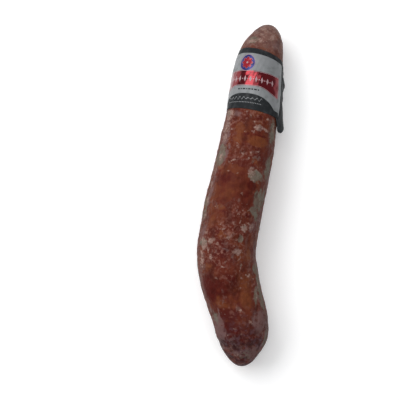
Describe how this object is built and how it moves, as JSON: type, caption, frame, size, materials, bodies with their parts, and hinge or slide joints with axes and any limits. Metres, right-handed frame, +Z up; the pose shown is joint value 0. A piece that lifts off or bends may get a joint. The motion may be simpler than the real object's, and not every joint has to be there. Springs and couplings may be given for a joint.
{
  "type": "dry-cured sausage with a wrapped label",
  "caption": "Long, gently bowed dry-cured sausage in a natural casing bloomed with white mould, with a printed film label wound round its neck, lying on its side.",
  "frame": {"origin": "on the table, under the middle of the whole sausage's box", "axes": "+Y from the near end towards the labelled neck, along the length; +Z up; the middle bows towards -X and the label's free end is on the +X side"},
  "size_m": [0.0682, 0.2972, 0.0496],
  "materials": {
    "casing": "dried natural casing over cured meat: brick red and orange-brown, half covered by grey-white mould, low sheen",
    "dried_tail": "twisted empty casing, dried hard, yellow-brown and slightly translucent",
    "black_film": "black printed film, semi-gloss",
    "silver_print": "silver-grey metallised print on film, satin",
    "red_foil": "red metallised foil print, glossy",
    "blue_print": "deep blue print on film, glossy",
    "white_print": "pale silver print on film, satin"
  },
  "bodies": {
    "root": {"sausage": "casing", "label_band": "black_film"}
  },
  "joints": []
}
